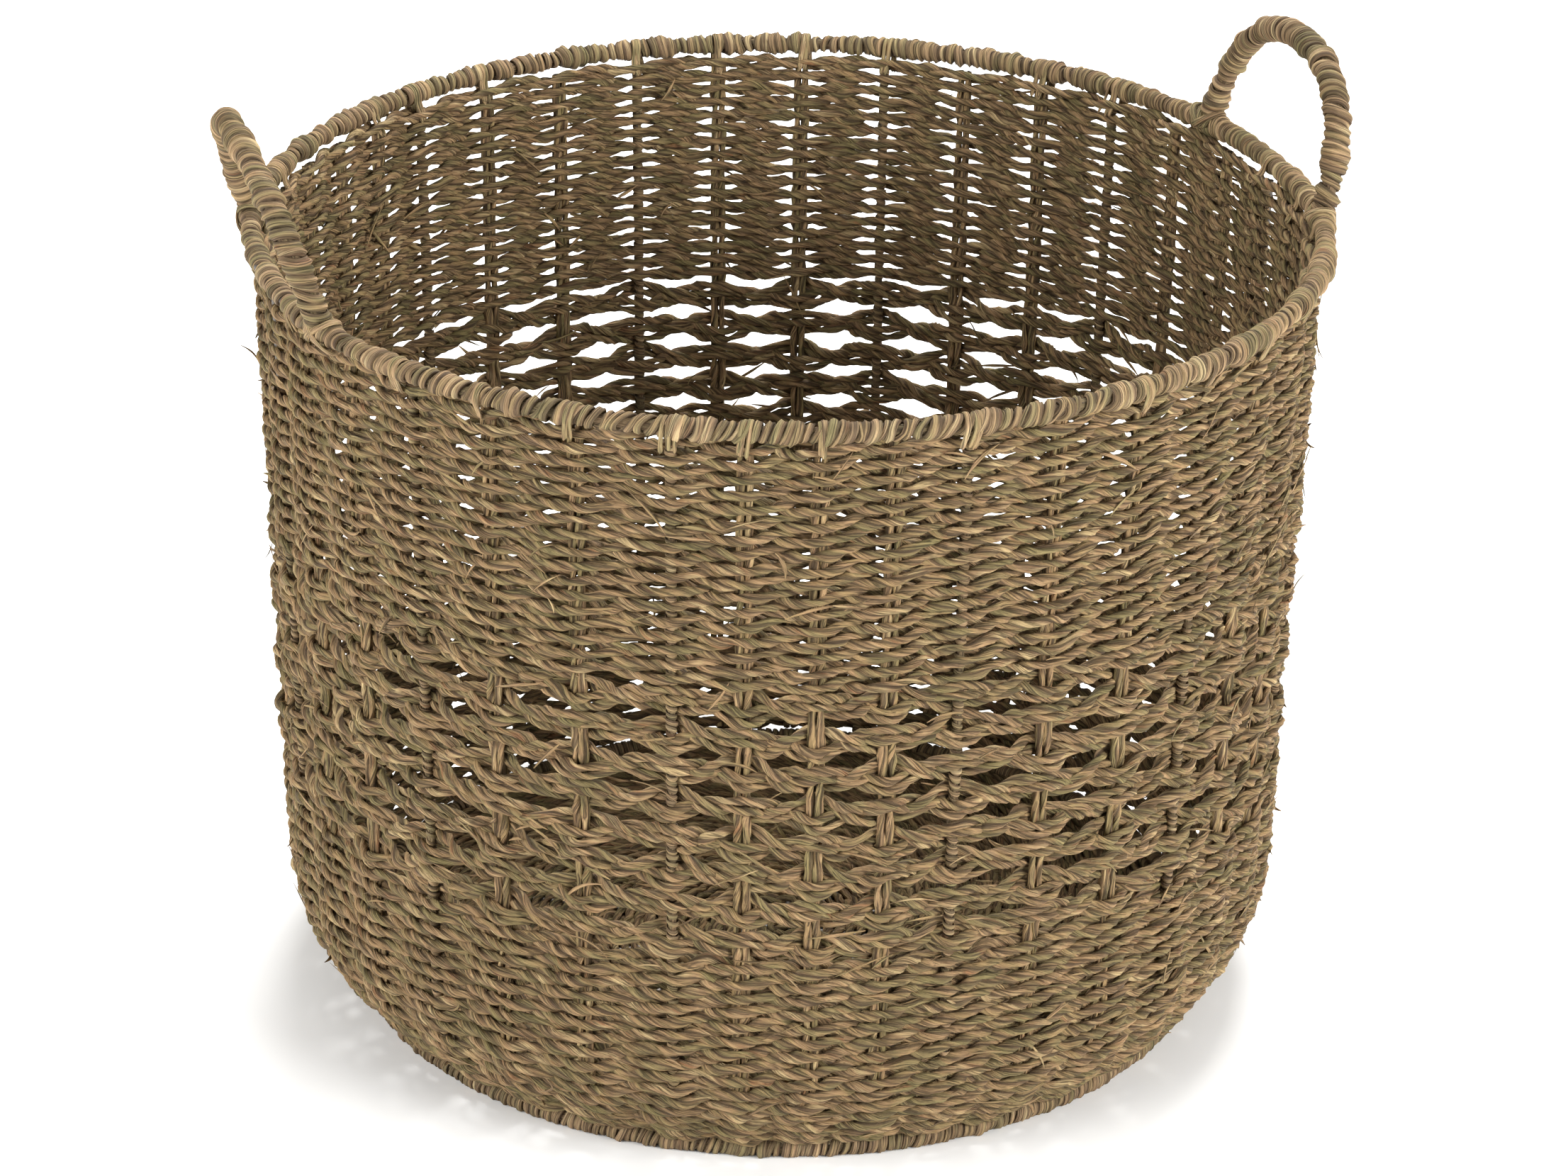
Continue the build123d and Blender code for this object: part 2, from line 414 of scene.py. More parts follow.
def add_cord(strands, path, reference, radius, seed, closed, lay=cord_lay, ridge=cord_ridge):
    """Lays one two-ply cord along a path."""
    random = np.random.default_rng(seed)
    side, up, distance, length = frames_along(path, reference, closed)
    angle, share = cord_section(cord_sides)
    turns = max(1, round(length / (lay * random.uniform(0.88, 1.14))))
    wander = 0.7 * line_noise(distance, 60, *seed, 1)
    fade = np.sin(pi * distance / length)
    turn = -2 * pi * turns * distance / length + random.uniform(0, pi) + wander * fade
    size = radius * (1 + 0.09 * line_noise(distance, 24, *seed, 2) * np.minimum(1, 4 * fade))
    rough = 1 + ridge * fibre_ridges(distance, cord_sides, 9.0, *seed, 6)
    rough += 0.02 * random.normal(size=rough.shape)
    reach = size[:, None] * share[None, :] * rough
    spin = angle[None, :] + turn[:, None]
    rings = rings_round(path, side, up, reach * np.cos(spin), reach * np.sin(spin))
    start = strand_start(random)
    # The two plies' fibre coordinates lie far apart, so that their streaks differ.
    wide = reach * np.cos(angle) + np.where(np.cos(angle) > 0, 40.0, 0.0)
    deep = reach * np.sin(angle)
    first = 0.5 + 0.22 * line_noise(distance, 90, *seed, 3) + random.normal() * 0.10
    second = 0.5 + 0.22 * line_noise(distance, 90, *seed, 4) + random.normal() * 0.10
    mix = 0.5 + 0.5 * np.clip(3 * np.cos(angle), -1, 1)
    tone = first[:, None] * mix + second[:, None] * (1 - mix)
    # Painted shade: darkest in the valley between the two plies, lighter on raised fibre ridges.
    valley = ((share.max() - share) / (share.max() - share.min())) ** 1.5
    groove_shade = np.clip(valley[None, :] - 2.2 * (rough - 1), 0, 1)
    strands.tube(rings, distance + start, wide, deep, tone, groove_shade, closed)


def add_blade(strands, path, reference, half_width, half_thickness, seed, taper=0.25):
    """Lays one flat blade, or a few side by side, along an open path."""
    random = np.random.default_rng(seed)
    side, up, distance, length = frames_along(path, reference, False)
    sides = 8
    angle = 2 * pi * np.arange(sides) / sides
    rough = 1 + 0.12 * fibre_ridges(distance, sides, 8.0, *seed, 1)
    ends = np.clip(np.minimum(distance, length - distance) / (taper * length) + 0.25, 0, 1)
    wide = half_width * ends[:, None] * np.cos(angle) * rough
    deep = half_thickness * ends[:, None] * np.sin(angle) * rough
    rings = rings_round(path, side, up, wide, deep)
    start = strand_start(random)
    tone = random.normal(0.58, 0.20)
    # Painted shade, a little, at the blade's two edges.
    groove_shade = 0.3 * np.abs(np.cos(angle)) ** 3
    strands.tube(rings, distance + start, wide, deep, tone, groove_shade, False)


def add_underlayer(strands, path, side, up, radius, distance, closed):
    """Earlier turns below a winding, which show dark between its turns: they carry heavy painted shade."""
    sides = 12
    angle = 2 * pi * np.arange(sides) / sides
    reach = radius * (1 + 0.04 * fibre_ridges(distance, sides, 5.0, len(path)))
    wide, deep = reach * np.cos(angle), reach * np.sin(angle)
    rings = rings_round(path, side, up, wide, deep)
    strands.tube(rings, distance, wide, deep, 0.4, 0.8, closed)


def turn_shifts(turns, rough, random):
    """How far each turn of a winding is out of its even place, without any long drift."""
    reach = 6
    window = 2 * reach + 1
    shifts = np.cumsum(random.normal(0, 0.20 * rough, turns + 1))
    shifts -= np.linspace(shifts[0], shifts[-1], turns + 1)
    padded = np.pad(shifts, reach, mode="edge")
    return shifts - np.convolve(padded, np.ones(window) / window, mode="valid")


def add_winding(strands, path, reference, winding, seed, closed):
    """Winds a blade round a path from end to end, each turn lapping the last."""
    random = np.random.default_rng(seed)
    side, up, distance, length = frames_along(path, reference, closed)
    thickness = winding.half_thickness
    turns = round(length / winding.pitch)
    whole = np.arange(turns * winding.steps) / winding.steps
    marks = np.arange(turns + 1)

    def per_turn(spread):
        """Noise that runs smoothly from one turn to the next."""
        return np.interp(whole, marks, random.normal(0, spread * winding.rough, turns + 1))

    shifted = whole + np.interp(whole, marks, turn_shifts(turns, winding.rough, random))
    place = shifted / turns * length
    angle = 2 * pi * whole
    place = place + (winding.lean + per_turn(0.5)) * np.sin(angle + per_turn(0.5))
    place = place % length if closed else np.clip(place, 0, length)
    knots = np.append(distance, length) if closed else distance

    def sample(values):
        """Vectors along the path, at the winding's own points."""
        looped = np.vstack([values, values[:1]]) if closed else values
        return np.stack([np.interp(place, knots, looped[:, i]) for i in range(3)], -1)

    across = unit(sample(side))
    upward = unit(sample(up))
    forward = unit(np.cross(upward, across))
    outward = across * np.cos(angle)[:, None] + upward * np.sin(angle)[:, None]
    size = np.clip(1 + per_turn(0.16), 0.65, 1.4)
    loose = np.clip(per_turn(0.18), -0.2, 0.5)
    middle = sample(path) + outward * (winding.core + thickness * size + loose)[:, None]
    tilt = winding.lap + per_turn(0.10)
    broad = forward * np.cos(tilt)[:, None] + outward * np.sin(tilt)[:, None]
    thick = outward * np.cos(tilt)[:, None] - forward * np.sin(tilt)[:, None]
    around = 2 * pi * (winding.core + thickness) * whole
    section = 2 * pi * np.arange(winding.sides) / winding.sides
    rough = 1 + 0.15 * fibre_ridges(around, winding.sides, 9.0, *seed, 2)
    lobed = 1 + 0.30 * np.cos(2 * pi * winding.lobes * np.cos(section))
    wide = winding.half_width * np.cos(section) * size[:, None] * (1 + 0.3 * (rough - 1))
    deep = thickness * np.sin(section) * lobed * size[:, None] * rough
    rings = rings_round(middle, broad, thick, wide, deep)
    start = strand_start(random)
    tone = 0.54 + per_turn(0.07) + 0.16 * line_noise(place, 60, *seed, 5)
    # Painted shade at the blade's edges, where turns lap, and between its lobes; less on raised ridges.
    edge = 1.2 * np.abs(np.cos(section)) ** 3 + 0.7 * (1.30 - lobed) / 0.60
    groove_shade = np.clip(edge[None, :] - 1.8 * (rough - 1), 0, 1)
    strands.tube(rings, around + start, wide, deep, tone[:, None], groove_shade, False)
    add_underlayer(strands, path, side, up, winding.core + 0.45 * thickness, distance, closed)


# ---------------------------------------------------------------- materials
shadow = (0.070, 0.043, 0.027)
russet = (0.250, 0.115, 0.052)
olive = (0.262, 0.208, 0.086)
moss = (0.325, 0.243, 0.108)
tan = (0.390, 0.260, 0.118)
rose = (0.425, 0.266, 0.134)
straw = (0.570, 0.415, 0.205)


def toned(gain, paler=(1.0, 1.0, 1.0)):
    """The run of colours from olive to straw, made lighter or darker, or less yellow."""
    run = ((0.26, olive), (0.40, moss), (0.50, tan), (0.60, rose), (0.72, straw))
    return [(place, tuple(gain * np.array(colour) * paler)) for place, colour in run]


def grey(level):
    """A colour without hue."""
    return (level, level, level)


class Painter:
    """Makes a material's shader nodes."""

    def __init__(self, name):
        self.material = bpy.data.materials.new(name)
        self.material.use_nodes = True
        self.nodes = self.material.node_tree.nodes
        self.links = self.material.node_tree.links
        self.shader = self.nodes["Principled BSDF"]

    def feed(self, socket, value):
        """Sets a socket to a number or a colour, or links it to another node's output."""
        if isinstance(value, tuple):
            socket.default_value = (*value, 1.0)
        elif isinstance(value, float):
            socket.default_value = value
        else:
            self.links.new(value, socket)

    def attribute(self, label):
        """What the mesh says at each point under one name."""
        made = self.nodes.new("ShaderNodeAttribute")
        made.attribute_name = label
        return made.outputs["Vector"]

    def noise(self, vector, scale, detail, roughness=0.5):
        """Cloudy noise between 0 and 1."""
        made = self.nodes.new("ShaderNodeTexNoise")
        made.inputs["Scale"].default_value = scale
        made.inputs["Detail"].default_value = detail
        made.inputs["Roughness"].default_value = roughness
        self.links.new(vector, made.inputs["Vector"])
        return made.outputs["Fac"]

    def fibres(self, flow, along, across):
        """Noise drawn out along the strands."""
        stretch = self.nodes.new("ShaderNodeVectorMath")
        stretch.operation = "MULTIPLY"
        stretch.inputs[1].default_value = (along, across, across)
        self.links.new(flow, stretch.inputs[0])
        return self.noise(stretch.outputs[0], 1.0, 2.0, 0.6)

    def ramp(self, source, stops):
        """A run of colours that a source between 0 and 1 picks from."""
        made = self.nodes.new("ShaderNodeValToRGB")
        self.links.new(source, made.inputs[0])
        elements = made.color_ramp.elements
        while len(elements) < len(stops):
            elements.new(0.5)
        for element, (place, colour) in zip(elements, stops):
            element.position = place
            element.color = (*colour, 1.0)
        return made.outputs["Color"]

    def mix(self, blend, factor, first, second):
        """Two colours, blended by a factor."""
        made = self.nodes.new("ShaderNodeMix")
        made.data_type = "RGBA"
        made.blend_type = blend
        self.feed(made.inputs[0], factor)
        self.feed(made.inputs[6], first)
        self.feed(made.inputs[7], second)
        return made.outputs[2]

    def maths(self, operation, *values):
        """Numbers, added, multiplied or both."""
        made = self.nodes.new("ShaderNodeMath")
        made.operation = operation
        for socket, value in zip(made.inputs, values):
            self.feed(socket, value)
        return made.outputs[0]

    def roughness(self, source, low, high):
        """Lets the surface's roughness follow a source, between two values."""
        made = self.nodes.new("ShaderNodeMapRange")
        made.inputs["To Min"].default_value = low
        made.inputs["To Max"].default_value = high
        self.links.new(source, made.inputs["Value"])
        self.links.new(made.outputs[0], self.shader.inputs["Roughness"])

    def bump(self, height, strength, depth):
        """Fine relief that the mesh doesn't have. The depth is in metres."""
        made = self.nodes.new("ShaderNodeBump")
        made.inputs["Strength"].default_value = strength
        made.inputs["Distance"].default_value = depth
        self.links.new(height, made.inputs["Height"])
        self.links.new(made.outputs[0], self.shader.inputs["Normal"])


def seagrass(name, tones, streak_across=1.25, contrast=1.0):
    """Dried seagrass: patches of several tones, streaks along the fibre, painted shade in grooves, dull
    sheen.
    """
    paint = Painter(name)
    flow = paint.attribute("flow")
    tone_and_shade = paint.nodes.new("ShaderNodeSeparateXYZ")
    paint.links.new(paint.attribute("tone_and_shade"), tone_and_shade.inputs[0])
    tone, groove_shade = tone_and_shade.outputs[0], tone_and_shade.outputs[1]

    patches = paint.fibres(flow, 0.045, 0.12)
    streaks = paint.fibres(flow, 0.05, streak_across)
    hairs = paint.fibres(flow, 0.16, 2.4 * streak_across)
    stains = paint.fibres(flow, 0.07, 0.25)

    # A strand's own tone moves it along the run of colours from olive to straw.
    hue = paint.maths("MULTIPLY_ADD", tone, 0.34, -0.17)
    base = paint.ramp(paint.maths("ADD", patches, hue), tones)
    stained = paint.ramp(stains, [(0.62, grey(0.0)), (0.74, grey(0.8))])
    reddened = paint.mix("MIX", stained, base, russet)
    dark_line = grey(1.0 - 0.62 * contrast)
    bright_line = grey(1.0 + 0.24 * contrast)
    lines = paint.ramp(streaks, [(0.40, dark_line), (0.49, grey(0.94)), (0.66, bright_line)])
    streaked = paint.mix("MULTIPLY", 1.0, reddened, lines)
    fine_lines = paint.ramp(hairs, [(0.34, grey(0.55)), (0.60, grey(1.08))])
    haired = paint.mix("MULTIPLY", 0.7, streaked, fine_lines)
    # Painted shade: the deeper in a groove, the more the colour is mixed towards the dark shadow colour.
    colour = paint.mix("MIX", paint.maths("MULTIPLY", groove_shade, 0.72), haired, shadow)
    paint.links.new(colour, paint.shader.inputs["Base Color"])

    paint.roughness(streaks, 0.60, 0.88)
    paint.shader.inputs["Specular IOR Level"].default_value = 0.22
    paint.bump(paint.maths("MULTIPLY_ADD", streaks, 2.0, hairs), 0.9, 0.9 * MM)
    return paint.material


def wire_steel():
    """Drawn steel wire, dull and a little stained."""
    paint = Painter("frame_wire_steel")
    place = paint.nodes.new("ShaderNodeTexCoord")
    stains = paint.noise(place.outputs["Object"], 180.0, 4.0)
    colours = paint.ramp(stains, [(0.0, (0.07, 0.06, 0.05)), (1.0, (0.22, 0.20, 0.18))])
    paint.links.new(colours, paint.shader.inputs["Base Color"])
    paint.roughness(stains, 0.38, 0.62)
    paint.bump(stains, 0.3, 0.2 * MM)
    paint.shader.inputs["Metallic"].default_value = 0.85
    return paint.material


woven = seagrass("woven_seagrass", toned(0.80))
warped = seagrass("warp_seagrass", toned(0.86), contrast=1.15)
wound = seagrass("wound_seagrass", toned(1.0, (1.0, 1.05, 1.13)), streak_across=1.5, contrast=1.1)
steel = wire_steel()


# ---------------------------------------------------------------- twined rows
def row_angles(radius, seed):
    """Angles round one row, which starts at its own place."""
    count = int(2 * pi * radius / cord_step)
    start = np.random.default_rng(seed).uniform(0, 2 * pi)
    return start + 2 * pi * np.arange(count) / count


def common_wave(theta, along):
    """Rise and dip that neighbouring rows share."""
    random = np.random.default_rng(7)
    total = np.zeros_like(theta)
    for wave in (1, 2, 3, 5, 8, 12, 12, 17):
        shift = random.uniform(0, 2 * pi) + along / 260 * random.uniform(-2, 2)
        total += random.normal(0, 0.34) * np.cos(wave * theta + shift)
    held = np.clip(along / 30, 0, 1) * np.clip((wall_length - along) / 30, 0, 1)
    return total * held


def twined_row(strands, surface, along, twining, seed, phase=upright_phase):
    """Lays the two cords of one twined row, which each upright passes between."""
    place = one_point(surface, 0.0, along, 0.0)
    theta = row_angles(np.hypot(place[0], place[1]), seed)
    count = phase(theta)
    level = along + 0.30 * ring_noise(theta, range(4, 44, 3), *seed, 1)
    if surface is wall_point:
        level = level + common_wave(theta, along)
    slip = 0.14 * ring_noise(theta, range(5, 60, 5), *seed, 2)
    for cord in range(2):
        turn = pi * (count + cord) + slip
        front, cross = np.cos(turn), np.sin(turn)
        uneven = 1 + 0.10 * ring_noise(theta, range(7, 80, 9), *seed, cord, 3)
        lift = twining.rise * cross * np.sqrt(np.abs(cross)) - twining.tilt * front
        lift = lift + 0.16 * ring_noise(theta, range(11, 120, 11), *seed, cord, 4)
        path, normal = surface(theta, level + lift, twining.depth * front * uneven)
        swollen = twining.radius * (1 + 0.1 * cross**2)
        add_cord(strands, path, normal, swollen, (*seed, cord), True)


def openwork_row(strands, along, row, seed):
    """Two doubled cords with a full twist between uprights, pinched to a neighbour at each."""
    theta = row_angles(wall_profile(np.array([along]))[0][0, 0], seed)
    count = upright_phase(theta)
    upright = np.floor(count).astype(int) % upright_count
    share = count - np.floor(count)
    sign = np.where((upright + row) % 2 == 0, 1.0, -1.0)
    swing = openwork_pinch * (0.7 * np.cos(pi * share) + 0.3 * (1 - 2 * share))
    front = 0.9 + 2.3 * np.cos(2 * pi * share)
    close = 1 - 0.15 * np.sin(pi * share) ** 2
    level = along + common_wave(theta, along) + 0.45 * ring_noise(theta, range(3, 40, 4), *seed, 1)
    for bundle, side in enumerate((1.0, -1.0)):
        uneven = 1 + 0.14 * ring_noise(theta, range(9, 90, 8), *seed, bundle, 2)
        twist = 0.5 * ring_noise(theta, range(6, 100, 9), *seed, bundle, 4)
        for cord in (-1, 1):
            lift = cord * (close * openwork_half_gap * uneven) - side * sign * swing
            wobble = 0.30 * ring_noise(theta, range(13, 130, 12), *seed, bundle, cord + 1, 3)
            path, normal = wall_point(theta, level + lift, side * front + wobble + cord * twist)
            add_cord(strands, path, normal, openwork_cord_radius, (*seed, bundle, cord + 1), True)


# The top row is pushed up against the rim, and the bottom one down against the base ring.
upper_start = along_at(upper_low[2])
upper_end = wall_length + 1.8
lower_start = -0.5
upper_pitch = (upper_end - upper_start) / upper_rows
for row in range(upper_rows):
    strands = Strands()
    twined_row(strands, wall_point, upper_start + upper_pitch * (row + 0.5), upper_twining, (1, row))
    strands.build(f"upper_row_{row + 1:02d}", woven, "upper_weave")

open_start = along_at(lower_high[2])
open_pitch = (upper_start - open_start) / openwork_rows
for row in range(openwork_rows):
    strands = Strands()
    openwork_row(strands, open_start + open_pitch * (row + 0.5), row, (2, row))
    strands.build(f"openwork_band_{row + 1}", woven, f"openwork_row_{openwork_rows - row}")

lower_pitch = (open_start - lower_start) / lower_rows
for row in range(lower_rows):
    strands = Strands()
    twined_row(strands, wall_point, lower_start + lower_pitch * (row + 0.5), lower_twining, (3, row))
    strands.build(f"lower_row_{row + 1:02d}", woven, "lower_weave")


# ---------------------------------------------------------------- uprights in the wall
def upright_path(theta, shift):
    """A line up the wall, set to one side of an upright's middle."""
    along = np.arange(-1.0, wall_length + 1.0, cord_step)
    radius = wall_profile(along)[0][:, 0]
    return wall_point(theta + shift / radius, along, np.zeros_like(along))


def warp_group(gap):
    """The pairs of cords between one wire upright and the next."""
    strands = Strands()
    inside = [angle for angle in pair_angles if 0 < angle - frame_angles[gap] < gap_angle]
    for i, angle in enumerate(inside):
        for side in (-1, 1):
            path, normal = upright_path(angle, side * pair_half_gap)
            add_cord(strands, path, normal, warp_radius, (4, gap, i, side + 1), False, warp_lay, warp_ridge)
    strands.build(f"warp_pair_group_{gap + 1:02d}", warped, f"warp_cords_{gap + 1:02d}")


def wound_upright(gap):
    """The fine winding of one wire upright."""
    strands = Strands()
    path, normal = upright_path(frame_angles[gap], 0.0)
    add_winding(strands, path, normal, wire_winding, (5, gap), False)
    strands.build(f"wire_winding_{gap + 1:02d}", wound, f"wire_wrapping_{gap + 1:02d}")


for gap in range(frame_uprights):
    warp_group(gap)
    wound_upright(gap)


# ---------------------------------------------------------------- rim and base ring
def wind_hoop(name, radius, height, drawn_in, winding, seed, node):
    """Winds a hoop all round, where drawn_in says how far in its middle line lies at each angle."""
    step = 2.0
    count = int(2 * pi * radius / step)
    theta = 2 * pi * np.arange(count) / count
    reach = radius - drawn_in(theta)
    path = np.stack([reach * np.cos(theta), reach * np.sin(theta), np.full_like(theta, height)], -1)
    strands = Strands()
    add_winding(strands, path, upright_vectors(path), winding, seed, True)
    strands.build(name, wound, node)


wind_hoop("rim_winding", rim_radius, rim_height, inset, rim_winding, (6, 1), "rim_wrapping")
wind_hoop(
    "base_ring_winding", base_ring_radius, base_ring_height, np.zeros_like, ring_winding, (6, 2),
    "base_ring_wrapping",
)


def turned(vectors, angle):
    """Vectors turned about the basket's axis."""
    matrix = np.array([[cos(angle), -sin(angle), 0], [sin(angle), cos(angle), 0], [0, 0, 1]])
    return vectors @ matrix.T


def smoothed(points, rounds=6):
    """Points evenly spaced along a line through the given ones, with its corners rounded."""
    step = 1.0
    distance = np.concatenate([[0], np.cumsum(np.linalg.norm(np.diff(points, axis=0), axis=1))])
    even = np.linspace(0, distance[-1], int(distance[-1] / step) + 1)
    line = np.stack([np.interp(even, distance, points[:, i]) for i in range(3)], -1)
    for _ in range(rounds):
        line[1:-1] = (line[:-2] + 2 * line[1:-1] + line[2:]) / 4
    return line


def add_tie_blade(strands, place, hang, slope, random, seed):
    """One blade from the outside of the wall, over the rim, to the inside of the wall."""
    stand_off = 4.6
    outer = one_point(wall_point, 0.0, hang - random.uniform(0, 1.6), stand_off)
    inner = one_point(wall_point, 0.0, hang - random.uniform(0, 1.6), -stand_off)
    swing = np.linspace(-0.3, pi + 0.5, 12)
    reach = 4.3 + 0.6 * random.uniform()
    crown = np.stack(
        [rim_radius + reach * np.cos(swing), 0 * swing, rim_height + reach * np.sin(swing)], -1
    )
    line = smoothed(np.vstack([outer, crown, inner]))
    line[:, 1] += np.linspace(1, -1, len(line)) * (slope + random.normal(0, 0.5))
    line[:, 0] -= inset(np.array([place]))[0]
    away = unit(line - [rim_radius, 0.0, rim_height - 4.0])
    half_width = random.uniform(0.8, 1.3)
    half_thickness = 0.6
    line, away = turned(line, place), turned(away, place)
    add_blade(strands, line, away, half_width, half_thickness, seed, taper=0.05)


def tie_rim():
    """Bunches of blades that tie the rim down over the first row of weave, at most uprights."""
    untied_share = 0.3
    strands = Strands()
    random = np.random.default_rng(61)
    for number, angle in enumerate(upright_angles):
        if random.uniform() < untied_share:
            continue
        middle = random.normal(0, 1.5)
        slope = random.normal(-1.2, 1.2)
        hang = wall_length - random.uniform(2.5, 4.5)
        for blade in range(random.integers(3, 6)):
            place = angle + (middle + random.normal(0, 1.3)) / rim_radius
            add_tie_blade(strands, place, hang, slope, random, (62, number, blade))
    strands.build("rim_ties", wound, "rim_wrapping")


tie_rim()


# ---------------------------------------------------------------- handles
def handle_line(side):
    """The middle line of a handle from foot to foot, in its own frame: x outward, y along the rim."""
    half = handle_half_angle[side]
    turn = np.linspace(0, pi, 400)
    rise = np.abs(np.sin(turn)) ** handle_fullness
    foot_radius = rim_radius * cos(half)
    x = foot_radius + rise * (handle_top_radius[side] - foot_radius)
    y = rim_radius * sin(half) * np.sign(np.cos(turn)) * np.abs(np.cos(turn)) ** handle_fullness
    y = y + rise * handle_top_shift[side]
    z = rim_height + rise * (handle_top_height - rim_height)
    line = smoothed(np.stack([x, y, z], -1), rounds=8)
    lean = atan2(handle_top_radius[side] - foot_radius, handle_top_height - rim_height)
    return line, np.broadcast_to([cos(lean), 0.0, -sin(lean)], line.shape)


def wind_handle(side, seed):
    """The close winding of one handle."""
    strands = Strands()
    path, plane = handle_line(side)
    angle = handle_angle[side]
    add_winding(strands, turned(path, angle), turned(plane, angle), handle_winding, seed, False)
    strands.build(f"handle_{side}_winding", wound, f"handle_{side}_wrapping")


def bind_foot(strands, middle, foot, number, place):
    """Binds one foot of a handle to the rim: a winding along the rim, and blades across the foot."""
    half_width = 1.7
    half_thickness = 0.8
    theta = middle + np.linspace(-binding_half_length, binding_half_length, 17) / rim_radius
    height = np.full_like(theta, rim_height)
    path = np.stack([rim_radius * np.cos(theta), rim_radius * np.sin(theta), height], -1)
    slanted = replace(binding_winding, lean=foot * binding_winding.lean)
    add_winding(strands, path, upright_vectors(path), slanted, (8, number, place), False)
    for blade in range(binding_blades):
        swing = np.linspace(-0.6 * pi, 1.1 * pi, 26)
        slope = (3.0 + 1.6 * blade) * (1 if blade % 2 else -1)
        reach = 5.4 + 0.25 * blade
        outward, upward = reach * np.cos(swing), reach * np.sin(swing)
        sideways = slope * np.sin(swing) + 1.3 * (blade - 2)
        line = np.stack([rim_radius + outward, sideways, rim_height + upward], -1)
        away = unit(np.stack([outward, 0 * swing, upward], -1))
        line, away = turned(line, middle), turned(away, middle)
        seed = (81, number, place, blade)
        add_blade(strands, line, away, half_width, half_thickness, seed, taper=0.1)


def bind_handle(side, number):
    """The bindings of a handle's two feet."""
    strands = Strands()
    for place, foot in enumerate((-1, 1)):
        middle = handle_angle[side] + foot * handle_half_angle[side]
        bind_foot(strands, middle, foot, number, place)
    strands.build(f"handle_{side}_binding", wound, f"handle_{side}_lashings")


for number, side in enumerate(handle_angle):
    wind_handle(side, (7, number))
    bind_handle(side, number)


# ---------------------------------------------------------------- base
base_rows = round((base_radius - base_heart) / base_row_pitch)
base_pitch = (base_radius - base_heart) / base_rows


def add_heart(strands):
    """Rings of cord that fill the middle of the base."""
    # Small as they are, the rings get as many points as a ring of this radius.
    sampled_radius = 30.0
    for ring, radius in enumerate(heart_rings):
        theta = row_angles(sampled_radius, (91, ring))
        path, normal = base_point(theta, np.full_like(theta, radius), 0 * theta)
        add_cord(strands, path, normal, heart_cord_radius, (91, ring), True)


def weave_base():
    """Rings of twining round the spokes and, further out, round pairs of cords too."""
    for row in range(base_rows):
        strands = Strands()
        radius = base_heart + base_pitch * (row + 0.5)
        phase = spoke_phase if radius < base_warp_start else upright_phase
        twined_row(strands, base_point, radius, base_twining, (9, row), phase)
        if row == 0:
            add_heart(strands)
        strands.build(f"base_row_{row + 1:02d}", woven, "base_weave")


def add_base_warps():
    """Pairs of cords that run in under the outer rows of the base."""
    strands = Strands()
    radius = np.arange(base_warp_start, base_radius, cord_step)
    for number, angle in enumerate(pair_angles):
        for side in (-1, 1):
            path, normal = base_point(angle + side * pair_half_gap / radius, radius, 0 * radius)
            seed = (92, number, side + 1)
            add_cord(strands, path, normal, base_warp_radius, seed, False, warp_lay, warp_ridge)
    strands.build("base_warps", warped, "base_weave")


weave_base()
add_base_warps()


# ---------------------------------------------------------------- loose ends
def add_loose_end(strands, theta, along, facing, random, seed):
    """A cut end or a stray blade that lies across the rows and lifts off at its tip."""
    length = random.uniform(6.0, 26.0)
    points = int(length / 1.5) + 3
    share = np.linspace(0, 1, points)
    heading = random.choice([0.0, pi]) + random.normal(0, 0.45)
    radius = wall_profile(np.array([along]))[0][0, 0]
    bend = random.normal(0, 0.5)
    direction = heading + bend * share
    step = length / points
    travel = theta + np.cumsum(np.cos(direction)) * step / radius
    level = along + np.cumsum(np.sin(direction)) * step
    lift = 3.6 + random.uniform(0.4, 1.6) * share + random.gamma(1.2, 1.1) * share**3
    line, normal = wall_point(travel, np.minimum(level, wall_length), facing * lift)
    half_width = random.uniform(0.35, 0.95)
    half_thickness = 0.22
    add_blade(strands, line, normal, half_width, half_thickness, seed, taper=0.5)


def scatter_loose_ends(zone, name, low, high, outside, inside, node):
    """Loose ends all over one zone of the wall, so many outside it and so many inside."""
    random = np.random.default_rng(70 + zone)
    strands = Strands()
    for number in range(outside + inside):
        facing = 1.0 if number < outside else -1.0
        theta = random.uniform(0, 2 * pi)
        along = random.uniform(low, high)
        add_loose_end(strands, theta, along, facing, random, (71, zone, number))
    strands.build(f"loose_ends_{name}", woven, node)


scatter_loose_ends(0, "upper", upper_start, wall_length - 3, 190, 70, "upper_weave")
scatter_loose_ends(1, "openwork", open_start, upper_start, 150, 200, "openwork_row_1")
scatter_loose_ends(2, "lower", 12.0, open_start, 150, 20, "lower_weave")


# ---------------------------------------------------------------- wires, which stay CAD nodes
def coat_in_steel(node):
    """Gives a node the steel material, without changing its mesh."""
    for slot in node.material_slots:
        slot.link = "OBJECT"
        slot.material = steel


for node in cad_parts.values():
    if not node.hide_render:
        coat_in_steel(node)


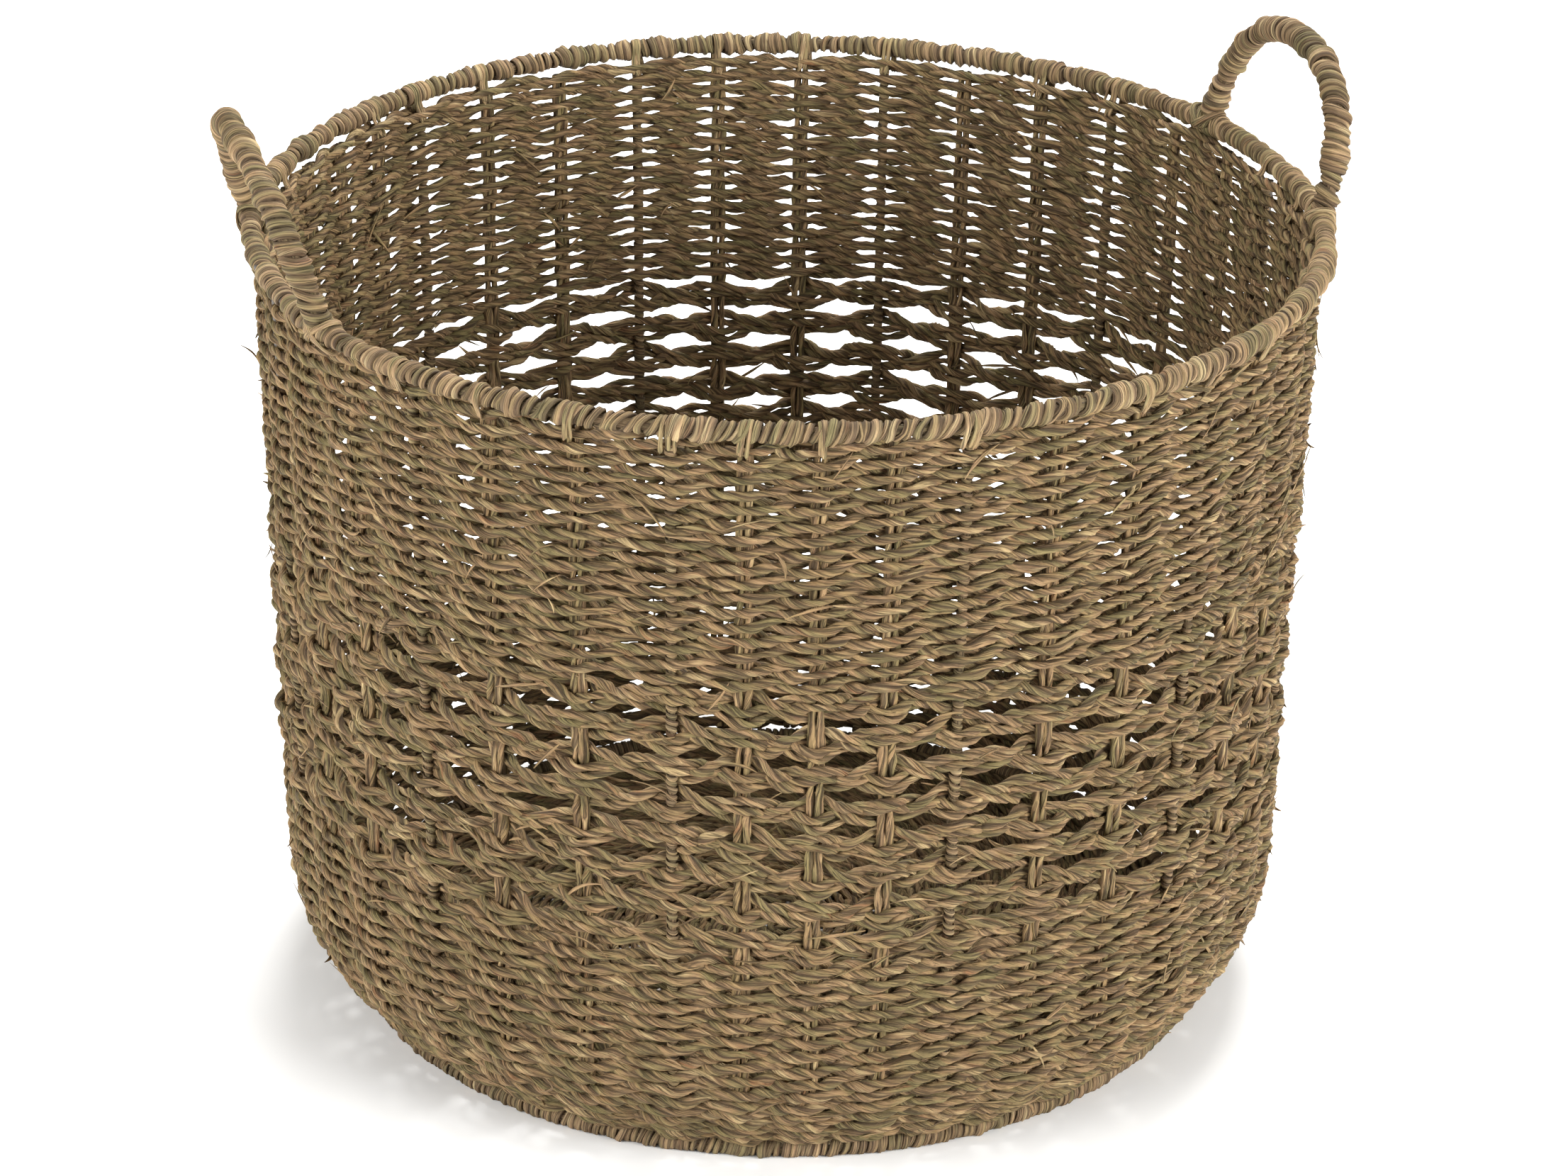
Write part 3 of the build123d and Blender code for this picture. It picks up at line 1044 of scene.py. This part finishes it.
# ---------------------------------------------------------------- stage
def floor_paint():
    """Near white. It glows a little, which is painted light, but only away from its middle: below the
    basket the glow fades out, which leaves a painted shadow there.
    """
    painted_shadow_radius = 0.19
    glow_radius = 0.27
    glow = 0.2
    white = (0.93, 0.93, 0.92)
    paint = Painter("floor_white")
    paint.feed(paint.shader.inputs["Base Color"], white)
    paint.feed(paint.shader.inputs["Emission Color"], white)
    paint.feed(paint.shader.inputs["Roughness"], 0.9)
    place = paint.nodes.new("ShaderNodeTexCoord")
    radius = paint.nodes.new("ShaderNodeVectorMath")
    radius.operation = "LENGTH"
    paint.links.new(place.outputs["Object"], radius.inputs[0])
    # The glow fades out towards the middle, painting a shadow on the floor under the basket.
    fade = paint.nodes.new("ShaderNodeMapRange")
    fade.interpolation_type = "SMOOTHSTEP"
    fade.inputs["From Min"].default_value = painted_shadow_radius
    fade.inputs["From Max"].default_value = glow_radius
    fade.inputs["To Max"].default_value = glow
    paint.links.new(radius.outputs["Value"], fade.inputs["Value"])
    paint.links.new(fade.outputs[0], paint.shader.inputs["Emission Strength"])
    return paint.material


def add_floor():
    """A wide plain square that the basket stands on."""
    half = 12.0
    mesh = bpy.data.meshes.new("floor")
    edge = [(-half, -half, 0), (half, -half, 0), (half, half, 0), (-half, half, 0)]
    mesh.from_pydata(edge, [], [(0, 1, 2, 3)])
    mesh.materials.append(floor_paint())
    floor = bpy.data.objects.new("floor", mesh)
    bpy.context.scene.collection.objects.link(floor)


def placed(right, up, back, place):
    """The matrix of an object that looks along minus back, from a place."""
    return Matrix([[right[i], up[i], back[i], place[i]] for i in range(3)] + [[0, 0, 0, 1]])


def add_area(name, place, size, power):
    """A round soft light that faces the lower half of the basket."""
    target = np.array([0.0, 0.0, 0.2])
    light = bpy.data.lights.new(name, "AREA")
    light.shape = "DISK"
    light.size = size
    light.energy = power
    lamp = bpy.data.objects.new(name, light)
    bpy.context.scene.collection.objects.link(lamp)
    away = unit(np.array(place) - target)
    right = unit(np.cross([0.0, 0.0, 1.0], away))
    lamp.matrix_world = placed(right, np.cross(away, right), away, place)


def add_world(strength):
    """Soft light from all round, in front of a white background."""
    world = bpy.data.worlds.new("studio")
    world.use_nodes = True
    nodes, links = world.node_tree.nodes, world.node_tree.links
    background = nodes["Background"]
    background.inputs["Color"].default_value = (1.0, 1.0, 1.0, 1.0)
    rays = nodes.new("ShaderNodeLightPath")
    shown = nodes.new("ShaderNodeMath")
    shown.operation = "MULTIPLY_ADD"
    shown.inputs[1].default_value = 1.0 - strength
    shown.inputs[2].default_value = strength
    links.new(rays.outputs["Is Camera Ray"], shown.inputs[0])
    links.new(shown.outputs[0], background.inputs["Strength"])
    bpy.context.scene.world = world


def add_camera():
    """Long lens, looking down at the basket from the front."""
    distance = 8.5 * rim_radius * MM
    height = 4.804 * rim_radius * MM
    pitch, yaw, roll = radians(25.405), radians(0.014), radians(0.8)
    forward = np.array([sin(yaw) * cos(pitch), cos(yaw) * cos(pitch), -sin(pitch)])
    right = np.array([cos(yaw), -sin(yaw), 0.0])
    up = np.cross(right, forward)
    right, up = cos(roll) * right + sin(roll) * up, cos(roll) * up - sin(roll) * right
    lens = bpy.data.cameras.new("camera")
    lens.sensor_width = 36.0
    lens.lens = 3.0999 * lens.sensor_width
    camera = bpy.data.objects.new("camera", lens)
    bpy.context.scene.collection.objects.link(camera)
    camera.matrix_world = placed(right, up, -forward, (0.0, -distance, height))
    bpy.context.scene.camera = camera


add_floor()
add_area("key", (2.4, -1.6, 1.12), 1.6, 121.0)
add_area("fill", (-2.4, -1.6, 1.12), 1.8, 99.0)
add_area("back", (0.3, 1.4, 2.5), 1.6, 112.0)
add_world(0.34)
add_camera()
bpy.context.scene.view_settings.view_transform = "Standard"
